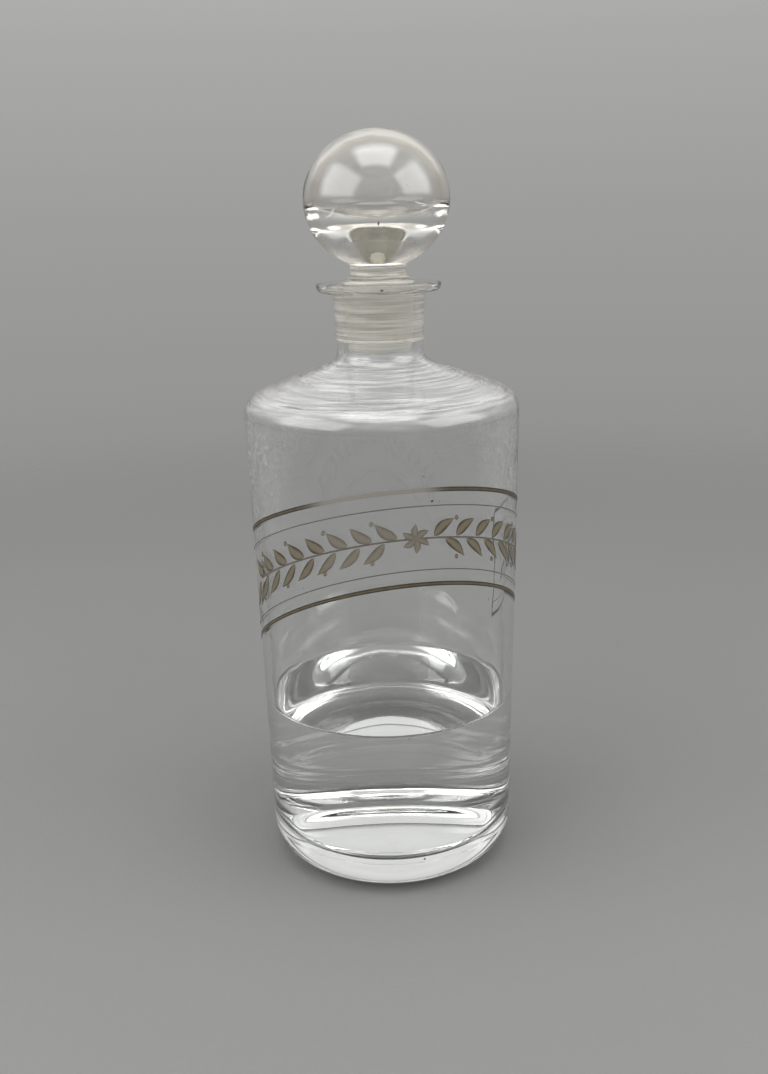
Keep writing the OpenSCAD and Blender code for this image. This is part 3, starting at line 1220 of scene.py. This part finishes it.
@dataclass
class Ribbon:
    """An arched ribbon cut round the front, framed by lines, with a laurel garland."""

    vessel: Vessel
    middle: float = 12.0
    reach: float = 99.0
    upper: Arch = Arch(0.1483, 0.0212)
    upper_inner: Arch = Arch(0.1431, 0.0228)
    lower_inner: Arch = Arch(0.1217, 0.0295)
    lower: Arch = Arch(0.1168, 0.0298)
    bold_w: float = 0.00145
    fine_w: float = 0.00035
    proud: float = 0.00004
    sunk: float = 0.00006
    leaf_l: float = 0.0092
    leaf_w: float = 0.0034
    leaf_pitch: float = 0.0082
    leaf_tilt: float = 38.0
    berry_d: float = 0.0015
    # How far a leaf bends, and how wide its two tips are
    leaf_bend: float = 0.0007
    leaf_tip: float = 0.00012
    # Powers under 1 bring a leaf's widest place nearer its stalk, and make the leaf fuller
    leaf_front: float = 0.8
    leaf_full: float = 0.9
    # Where leaves and berries stand: off the stem, apart along it, and short of the ribbon's ends
    stalk: float = 0.0006
    stagger: float = 0.25
    berry_out: float = 0.0065
    berry_back: float = 0.002
    margin: float = 0.012
    stem_w: float = 0.00056
    # Each petal is a small, plump leaf
    petals: int = 6
    petal: float = 0.5
    petal_plump: float = 1.35
    petal_out: float = 0.0004
    # Parts of a line, of the stem and of a leaf along their length
    line_parts: int = 220
    stem_parts: int = 160
    leaf_parts: int = 14

    @cached_property
    def length(self) -> float:
        """Length of the ribbon from end to end."""
        return math.radians(2 * self.reach) * self.vessel.body_d / 2

    def turn_of(self, along: float) -> float:
        """Returns the degrees from the ribbon's middle for a length along it."""
        return math.degrees(along / (self.vessel.body_d / 2))

    def is_upper(self, place: Vector) -> bool:
        """Says whether a point lies in the upper half of the ribbon."""
        turn = math.degrees(math.atan2(place.y, place.x)) + UP - self.middle
        turn = (turn + 180.0) % 360.0 - 180.0
        return place.z > (self.upper.height(turn) + self.lower.height(turn)) / 2

    def wrap(self, piece: Piece, upper: Arch, lower: Arch) -> None:
        """Lays a flat piece on the wall.

        Args:
            piece: The piece, with X along the ribbon, Y from -0.5 at the lower line to 0.5
                at the upper one, and Z out of the wall.
            upper: Line that Y of 0.5 follows.
            lower: Line that Y of -0.5 follows.
        """
        def place(flat: Vector) -> Vector:
            """Returns where a point of the flat piece lies on the wall."""
            turn = self.turn_of(flat.x)
            high, low = upper.height(turn), lower.height(turn)
            z = (high + low) / 2 + flat.y * (high - low)
            radius = self.vessel.wall_r(z) + flat.z
            angle = math.radians(turn + self.middle - UP)
            return Vector((radius * math.cos(angle), radius * math.sin(angle), z))
        spread(piece, place)

    def strip(self, name: str, length: float, parts: int) -> Piece:
        """Makes a flat strip, one unit wide, with thickness.

        Args:
            name: Name of the strip.
            length: Its length.
            parts: How many parts it has along its length.

        Returns:
            The strip, along X, with its own UV map.
        """
        let_go()
        bpy.ops.mesh.primitive_grid_add(x_subdivisions=parts, y_subdivisions=4, size=1.0)
        piece = named(name)
        open_mesh(piece)
        bpy.ops.transform.resize(value=(length, 1.0, 1.0))
        bpy.ops.transform.translate(value=(0, 0, self.proud))
        bpy.ops.object.mode_set(mode="OBJECT")
        return piece

    def thicken(self, piece: Piece) -> None:
        """Gives a flat piece its thickness, down into the wall."""
        use_modifier(piece, "SOLIDIFY", thickness=self.proud + self.sunk, offset=-1.0)

    def line(self, name: str, arch: Arch, width: float) -> Piece:
        """Cuts one line of the frame.

        Args:
            name: Name of the line.
            arch: Its course.
            width: Its width.

        Returns:
            The line, on the wall.
        """
        piece = self.strip(name, self.length, self.line_parts)
        self.thicken(piece)
        self.wrap(piece, Arch(arch.top + width / 2, arch.drop), Arch(arch.top - width / 2, arch.drop))
        return piece

    def leaf(self) -> Piece:
        """Makes one flat leaf, pointed at both ends, with its stalk at the origin."""
        piece = self.strip("leaf", self.leaf_l, self.leaf_parts)

        def shape(flat: Vector) -> Vector:
            """Returns where a point of the strip lies in the leaf."""
            t = flat.x / self.leaf_l + 0.5
            width = 0.0
            if 0 < t < 1:
                width = self.leaf_w * math.sin(math.pi * t ** self.leaf_front) ** self.leaf_full
            bend = self.leaf_bend * math.sin(math.pi * t)
            return Vector((flat.x + self.leaf_l / 2, flat.y * max(width, self.leaf_tip) + bend, flat.z))
        spread(piece, shape)
        return piece

    def berry(self) -> Piece:
        """Makes one flat berry at the origin."""
        let_go()
        bpy.ops.mesh.primitive_grid_add(x_subdivisions=6, y_subdivisions=6, size=1.0)
        piece = named("berry")

        def shape(flat: Vector) -> Vector:
            """Returns where a point of the square grid lies in the round berry."""
            reach = max(abs(flat.x), abs(flat.y)) * self.berry_d
            angle = math.atan2(flat.y, flat.x)
            return Vector((reach * math.cos(angle), reach * math.sin(angle), self.proud))
        spread(piece, shape)
        return piece

    def copy(self, piece: Piece, at: Point, tilt: float) -> Piece:
        """Copies a flat piece with its own mesh.

        Args:
            piece: The piece to copy.
            at: Place of its origin.
            tilt: Turn, in degrees.

        Returns:
            The copy.
        """
        new = piece.copy()
        new.data = piece.data.copy()
        bpy.context.collection.objects.link(new)
        new.data.transform(Matrix.Translation((*at, 0)) @ Matrix.Rotation(math.radians(tilt), 4, "Z"))
        return new

    def garland(self) -> list[Piece]:
        """Makes the laurel garland: a stem, pairs of leaves and berries, and a flower in the middle."""
        band = self.upper_inner.top - self.lower_inner.top
        count = int((self.length / 2 - self.margin) / self.leaf_pitch)
        leaf, berry = self.leaf(), self.berry()
        leaves, berries = [], []
        for i in (*range(-count, 0), *range(1, count + 1)):
            along = i * self.leaf_pitch
            facing = 1 if along > 0 else -1
            for side in (1, -1):
                tilt = side * self.leaf_tilt if facing > 0 else 180 - side * self.leaf_tilt
                start = along - facing * self.stagger * side * self.leaf_pitch
                leaves.append(self.copy(leaf, (start, side * self.stalk), tilt))
                if i % 2 == 0:
                    at = (along - facing * self.berry_back, side * self.berry_out)
                    berries.append(self.copy(berry, at, 0))
        spread(leaf, lambda p: Vector((self.petal_out + p.x * self.petal,
                                       p.y * self.petal * self.petal_plump, p.z)))
        leaves += [self.copy(leaf, (0.0, 0.0), 360 * (i + 0.5) / self.petals) for i in range(self.petals)]
        berries.append(self.copy(berry, (0.0, 0.0), 0))
        for flat in (leaf, berry):
            bpy.data.objects.remove(flat)
        stem = self.strip("stem", 2 * count * self.leaf_pitch, self.stem_parts)
        spread(stem, lambda p: Vector((p.x, p.y * self.stem_w, p.z)))
        result = [join(leaves, "ribbon_leaves"), join(berries, "ribbon_berries"),
                  join([stem], "ribbon_stem")]
        for piece in result:
            self.thicken(piece)
            spread(piece, lambda p: Vector((p.x, p.y / band, p.z)))
            self.wrap(piece, self.upper_inner, self.lower_inner)
        return result

    def ends(self) -> Piece:
        """Cuts the upright lines that close the ribbon at its two ends."""
        ends = []
        for side in (1, -1):
            ends.append(self.strip("end", self.fine_w * 2, 2))
            spread(ends[-1], lambda p, s=side: Vector((p.x + s * self.length / 2, p.y, p.z)))
        piece = join(ends, "ribbon_ends")
        self.thicken(piece)
        self.wrap(piece, self.upper, self.lower)
        return piece

    def build(self) -> list[Piece]:
        """Cuts the whole ribbon."""
        bold = [self.line("bold_upper", self.upper, self.bold_w),
                self.line("bold_lower", self.lower, self.bold_w)]
        fine = [self.line("fine_upper", self.upper_inner, self.fine_w),
                self.line("fine_lower", self.lower_inner, self.fine_w)]
        return [join(bold, "ribbon_bold_lines"), join(fine, "ribbon_fine_lines"), self.ends(),
                *self.garland()]

    def dress(self, pieces: list[Piece]) -> None:
        """Finishes the ribbon's pieces and hands them to the frame."""
        bold = CutStain("stained_cut", clear=0.15)
        worn = CutStain("worn_cut", worn=(-0.0226, 0.0164))
        fine = CutStain("fine_cut", edge=(0.12, 0.105, 0.08), middle=(0.19, 0.17, 0.14))
        leaf = CutStain("stained_leaf", edge=(0.085, 0.065, 0.04), middle=(0.27, 0.23, 0.155),
                        border=0.15, clear=0.45, worn=(-0.020, 0.014), worn_share=0.35)
        finishes = {"ribbon_bold_lines": [(bold, None), (worn, self.is_upper)],
                    "ribbon_leaves": [(leaf, None)], "ribbon_berries": [(leaf, None)]}
        for piece in pieces:
            wear(piece, finishes.get(piece.name, [(fine, None)]))
            settle(piece, Body.BOTTLE, Slot.BOTTLE_GLASS)


@dataclass
class Marks:
    """What age and making left: seeds of air in the wall, specks of dirt and scratches."""

    vessel: Vessel
    stopper: Stopper
    # Each seed: degrees round from the front, height, depth in the wall, length and width
    seeds: tuple[tuple[float, float, float, float, float], ...] = (
        (-38.0, 0.0905, 0.0012, 0.0011, 0.0003), (-52.0, 0.1440, 0.0015, 0.0008, 0.0003),
        (25.0, 0.0840, 0.0014, 0.0007, 0.00035), (48.0, 0.1060, 0.0010, 0.0012, 0.0003),
        (9.0, 0.1530, 0.0016, 0.0006, 0.0003), (150.0, 0.1220, 0.0015, 0.0010, 0.0004),
        (205.0, 0.0700, 0.0012, 0.0009, 0.0003), (118.0, 0.0950, 0.0014, 0.0006, 0.0003),
        (255.0, 0.1510, 0.0016, 0.0007, 0.0003), (-14.0, 0.0330, 0.0013, 0.0006, 0.0004),
        (175.0, 0.0300, 0.0012, 0.0008, 0.0004), (62.0, 0.0420, 0.0015, 0.0007, 0.0003))
    # Each speck on the wall: degrees round from the front, height and width
    specks: tuple[tuple[float, float, float], ...] = (
        (18.6, 0.1444, 0.0010), (14.0, 0.0143, 0.0009), (41.6, 0.0209, 0.0008), (-8.0, 0.0178, 0.0005),
        (160.0, 0.1315, 0.0008), (228.0, 0.0905, 0.0006))
    # Each scratch on the globe: degrees round, degrees up, length, width and tilt
    scratches: tuple[tuple[float, float, float, float, float], ...] = (
        (-38.0, -12.0, 0.0050, 0.00042, 28.0), (-35.0, -8.5, 0.0026, 0.00032, 34.0),
        (34.0, -4.5, 0.0044, 0.0004, -12.0), (38.0, -6.0, 0.0020, 0.0003, 14.0),
        (150.0, 12.0, 0.0036, 0.0003, 35.0), (-110.0, 20.0, 0.0030, 0.0003, -50.0))
    # The speck on the lip: its distance from the front to the right, and its width
    lip_speck: Point = (0.0010, 0.0011)
    scratch_t: float = 0.00006
    # How far a scratch bends, against its length, and how narrow its tips are, against its width
    scratch_bend: float = 0.06
    scratch_tip: float = 0.1
    # Depth and height of a speck against its width, on the wall and on the lip
    speck_shape: Point = (0.25, 0.7)
    lip_speck_shape: Point = (0.3, 0.6)
    # How deep the speck on the lip sits in the lip's edge
    lip_speck_in: float = 0.0001
    # How far a lump narrows to its top, in width and in depth, and how deep and how fast it waves
    narrowing: Point = (0.35, 0.3)
    waviness: Point = (0.12, 9.0)

    def pip(self, name: str, size: tuple[float, float, float]) -> Piece:
        """Makes a small round lump at the origin, uneven and tapered to its top.

        Args:
            name: Its name.
            size: Its width, depth and height.

        Returns:
            The lump.
        """
        let_go()
        bpy.ops.mesh.primitive_ico_sphere_add(subdivisions=2, radius=0.5)
        piece = named(name)
        width, depth, height = size
        wave, pace = self.waviness

        def shape(ball: Vector) -> Vector:
            """Returns where a point of the ball lies in the lump."""
            wide = 1 - self.narrowing[0] * ball.z + wave * math.sin(pace * ball.z)
            deep = 1 - self.narrowing[1] * ball.z
            return Vector((ball.x * width * wide, ball.y * depth * deep, ball.z * height))
        spread(piece, shape)
        return piece

    def scratch(self, length: float, width: float, tilt: float) -> Piece:
        """Makes a thin bent scratch in XY at the origin.

        Args:
            length: Its length.
            width: Its greatest width.
            tilt: Its turn, in degrees.

        Returns:
            The scratch.
        """
        let_go()
        bpy.ops.mesh.primitive_grid_add(x_subdivisions=12, y_subdivisions=2, size=1.0)
        piece = named("scratch")

        def shape(flat: Vector) -> Vector:
            """Returns where a point of the square grid lies in the scratch."""
            far = (2 * flat.x) ** 2
            across = flat.y * width * max(self.scratch_tip, 1 - far)
            return Vector((flat.x * length, across + self.scratch_bend * length * far, 0.0))
        spread(piece, shape)
        piece.data.transform(Matrix.Rotation(math.radians(tilt), 4, "Z"))
        use_modifier(piece, "SOLIDIFY", thickness=self.scratch_t, offset=0.0)
        return piece

    def on_wall(self, piece: Piece, turn: float, z: float, inset: float) -> None:
        """Moves a piece from the origin to a place on the wall of the body."""
        angle = math.radians(turn)
        radius = self.vessel.wall_r(z) - inset
        piece.data.transform(Matrix.Translation((radius * math.sin(angle), -radius * math.cos(angle), z))
                             @ Matrix.Rotation(angle, 4, "Z"))

    def on_globe(self, piece: Piece, turn: float, up: float) -> None:
        """Bends a flat piece, which lies in XY, onto the globe."""
        side = Vector((math.cos(math.radians(turn)), math.sin(math.radians(turn)), 0.0))
        level = Vector((side.y, -side.x, 0.0))
        out = level * math.cos(math.radians(up)) + Vector((0, 0, math.sin(math.radians(up))))
        over = out.cross(side)
        half = (self.stopper.globe_d / 2, self.stopper.globe_d / 2, self.stopper.globe_h / 2)
        middle = Vector((0.0, 0.0, self.stopper.globe_c[1]))

        def place(flat: Vector) -> Vector:
            """Returns where a point of the flat piece lies on the globe."""
            way = (out + (side * flat.x + over * flat.y) / half[0]).normalized()
            return middle + Vector([way[k] * (half[k] + flat.z) for k in range(3)])
        spread(piece, place)

    def build(self) -> dict[str, Piece]:
        """Makes the seeds, the specks and the scratches, each kind as one piece."""
        seeds = []
        for turn, z, inset, length, width in self.seeds:
            seeds.append(self.pip("seed", (width, width, length)))
            self.on_wall(seeds[-1], turn, z, inset)
        specks = []
        for turn, z, width in self.specks:
            depth, height = (share * width for share in self.speck_shape)
            specks.append(self.pip("speck", (width, depth, height)))
            self.on_wall(specks[-1], turn, z, 0.0)
        aside, width = self.lip_speck
        depth, height = (share * width for share in self.lip_speck_shape)
        specks.append(self.pip("speck", (width, depth, height)))
        specks[-1].data.transform(Matrix.Translation((aside, self.lip_speck_in - self.vessel.lip_d / 2,
                                                      self.vessel.height - self.vessel.lip_t / 2)))
        scratches = []
        for turn, up, length, width, tilt in self.scratches:
            scratches.append(self.scratch(length, width, tilt))
            self.on_globe(scratches[-1], turn, up)
        pieces = {"seeds": join(seeds, "glass_seeds"), "specks": join(specks, "burnt_specks"),
                  "scratches": join(scratches, "globe_scratches")}
        turn_inside_out(pieces["seeds"])
        return pieces

    def dress(self, pieces: dict[str, Piece]) -> None:
        """Finishes the marks and hands them to the frame."""
        burnt = Mark("burnt_speck", dark=(0.02, 0.015, 0.01), light=(0.11, 0.1025, 0.095),
                     grain=3000.0, turn=(0.4, 0.7), roughness=0.6)
        crushed = Mark("crushed_glass", dark=(0.644, 0.637, 0.616), light=(0.92, 0.91, 0.88),
                       grain=2500.0, turn=(0.35, 0.65), roughness=0.5)
        for kind, finish, body, slot in (
                ("seeds", ClearGlass("seed_wall"), Body.BOTTLE, Slot.BOTTLE_GLASS),
                ("specks", burnt, Body.BOTTLE, Slot.BOTTLE_GLASS),
                ("scratches", crushed, Body.STOPPER, Slot.STOPPER_GLASS)):
            wear(pieces[kind], [(finish, None)])
            settle(pieces[kind], body, slot)


@dataclass(frozen=True)
class Panel:
    """A soft lamp of the studio: a lit cloth in a frame.

    Args:
        name: Name of the lamp.
        place: Its middle.
        aim: The point that it faces.
        size: Its width and height.
        radiance: Its brightness, where 1 is white.
        hem: Share of its width over which it fades at each edge.
    """

    name: str
    place: Place
    aim: Place
    size: tuple[float, float]
    radiance: float
    hem: float = 0.22

    def light(self) -> None:
        """Hangs the lamp."""
        data = bpy.data.lights.new(self.name, "AREA")
        data.shape = "RECTANGLE"
        data.size, data.size_y = self.size
        data.energy = self.radiance * math.pi * self.size[0] * self.size[1]
        lamp = bpy.data.objects.new(self.name, data)
        bpy.context.collection.objects.link(lamp)
        lamp.location = self.place
        lamp.visible_camera = False
        self.soften(data)
        towards = Vector(self.aim) - Vector(self.place)
        lamp.rotation_euler = towards.to_track_quat("-Z", "Y").to_euler()

    def soften(self, data: bpy.types.Light) -> None:
        """Lets the lamp's cloth fade towards its hem."""
        data.use_nodes = True
        tree = Tree(data.node_tree)
        cloth = tree.split(tree.add("ShaderNodeNewGeometry").outputs["Parametric"])
        fades = [tree.rise(tree.math("ABSOLUTE", tree.math("SUBTRACT", cloth[axis], 0.5)),
                           0.5 - self.hem, 0.5, 1.0, 0.0) for axis in ("X", "Y")]
        tree.feed(tree.tree.nodes["Emission"].inputs["Strength"], tree.math("MULTIPLY", *fades))


@dataclass
class Studio:
    """A pale floor that fades into a pale room, soft lamps and the camera."""

    floor_r: float = 1.6
    floor_t: float = 0.02
    # Distances from the middle between which the floor gives way to the room
    fade: Span = (0.25, 1.25)
    # Distances between which the floor's colour changes from the painted shade near the bottle to the
    # lighter colour far off
    pale: Span = (0.1, 1.0)
    # How far the blotches of its paper shift that colour
    blotch: float = 0.05
    # The near colour is a painted shade round the bottle; the far colour is the floor's own
    painted_shade_colour: Colour = (0.19, 0.19, 0.189)
    far_colour: Colour = (0.33, 0.33, 0.33)
    # Brightness of the room by the sine of the height over the horizon
    room: tuple[Point, ...] = ((-1.0, 0.23), (-0.35, 0.27), (-0.12, 0.31), (0.0, 0.34), (0.14, 0.40),
                               (0.26, 0.50), (0.40, 0.72), (0.7, 0.80), (1.0, 0.70))
    room_tint: Colour = (1.0, 1.0, 0.985)
    # The camera's place, and its pitch, yaw and roll in degrees
    camera_place: Place = (0.0, -0.3828, 0.2327)
    camera_pitch: float = 16.46
    camera_yaw: float = 0.06
    camera_roll: float = -1.495
    # Height of the photo and its focal length, in its pixels
    photo_h: float = 1074.0
    focal_px: float = 1100.0
    sensor_w: float = 36.0
    lamps: list[Panel] = field(default_factory=lambda: [
        Panel("top_lamp", (0.0, -0.14, 0.95), (0.0, -0.14, 0.0), (0.74, 0.74), 3.8),
        Panel("left_lamp", (-0.48, -0.28, 0.50), (0.0, -0.16, 0.22), (0.95, 0.60), 2.8),
        Panel("right_lamp", (0.48, -0.24, 0.50), (0.0, -0.16, 0.22), (0.76, 0.60), 2.8),
    ])

    def lay_floor(self) -> None:
        """Lays the floor, whose far part lets the room show."""
        outline = [(0.0, -self.floor_t), (self.floor_r, -self.floor_t), (self.floor_r, 0.0), (0.0, 0.0)]
        piece = lathe("floor", with_rows(outline, longest=0.1), steps=96)
        nodes = Nodes("floor_paper")
        away = nodes.away()
        blotch = nodes.math("MULTIPLY", nodes.math("SUBTRACT", nodes.noise(scale=6.0), 0.5), self.blotch)
        # Darker near the middle: a painted shade round the bottle, fading into the lighter far colour
        colour = nodes.ramp(nodes.math("ADD", nodes.rise(away, *self.pale), blotch), [
            (0.0, self.painted_shade_colour), (1.0, self.far_colour)])
        nodes.set(base_color=colour, roughness=0.9, specular_ior_level=0.1,
                  alpha=nodes.rise(away, *self.fade, 1.0, 0.0))
        nodes.bump([(nodes.noise(scale=900.0, detail=4.0), 0.00015)])
        piece.data.materials.append(nodes.material)

    def camera(self) -> None:
        """Sets up the camera at the photographed angle."""
        data = bpy.data.cameras.new("camera")
        data.sensor_width = self.sensor_w
        data.lens = self.focal_px / self.photo_h * self.sensor_w
        data.clip_start = 0.01
        camera = bpy.data.objects.new("camera", data)
        bpy.context.collection.objects.link(camera)
        turn = (Matrix.Rotation(math.radians(self.camera_yaw), 4, "Z")
                @ Matrix.Rotation(math.radians(UP - self.camera_pitch), 4, "X")
                @ Matrix.Rotation(math.radians(self.camera_roll), 4, "Z"))
        camera.matrix_world = Matrix.Translation(self.camera_place) @ turn
        bpy.context.scene.camera = camera

    def paint_room(self) -> None:
        """Paints the room round the floor, pale and brighter towards the ceiling."""
        world = bpy.data.worlds.new("room")
        world.use_nodes = True
        tree = Tree(world.node_tree)
        height = tree.split(tree.add("ShaderNodeTexCoord").outputs["Generated"])["Z"]
        level = tree.rise(height, -1.0, 1.0, kind="LINEAR")
        stops = [((sine + 1.0) / 2, tuple(bright * c for c in self.room_tint)) for sine, bright in self.room]
        tree.feed(tree.tree.nodes["Background"].inputs["Color"], tree.ramp(level, stops))
        bpy.context.scene.world = world

    def settings(self) -> None:
        """Sets what clear glass needs from the renderer."""
        scene = bpy.context.scene
        scene.view_settings.view_transform = "Standard"
        scene.cycles.max_bounces = 32
        scene.cycles.transmission_bounces = 32
        scene.cycles.glossy_bounces = 16
        scene.cycles.diffuse_bounces = 3
        scene.cycles.use_denoising = True

    def build(self) -> None:
        """Builds the whole studio."""
        self.lay_floor()
        self.paint_room()
        for lamp in self.lamps:
            lamp.light()
        self.camera()
        self.settings()


def main() -> None:
    """Builds the bottle and its studio, and reports each piece."""
    logging.basicConfig(level=logging.INFO, format="%(message)s")
    studio = Studio()
    studio.build()
    vessel = Vessel()
    vessel.dress(vessel.build())
    stopper = Stopper(vessel)
    stopper.dress(stopper.build())
    contents = Contents(vessel)
    contents.dress(contents.build())
    ribbon = Ribbon(vessel)
    ribbon.dress(ribbon.build())
    marks = Marks(vessel, stopper)
    marks.dress(marks.build())
    let_go()


if __name__ == "__main__":
    main()
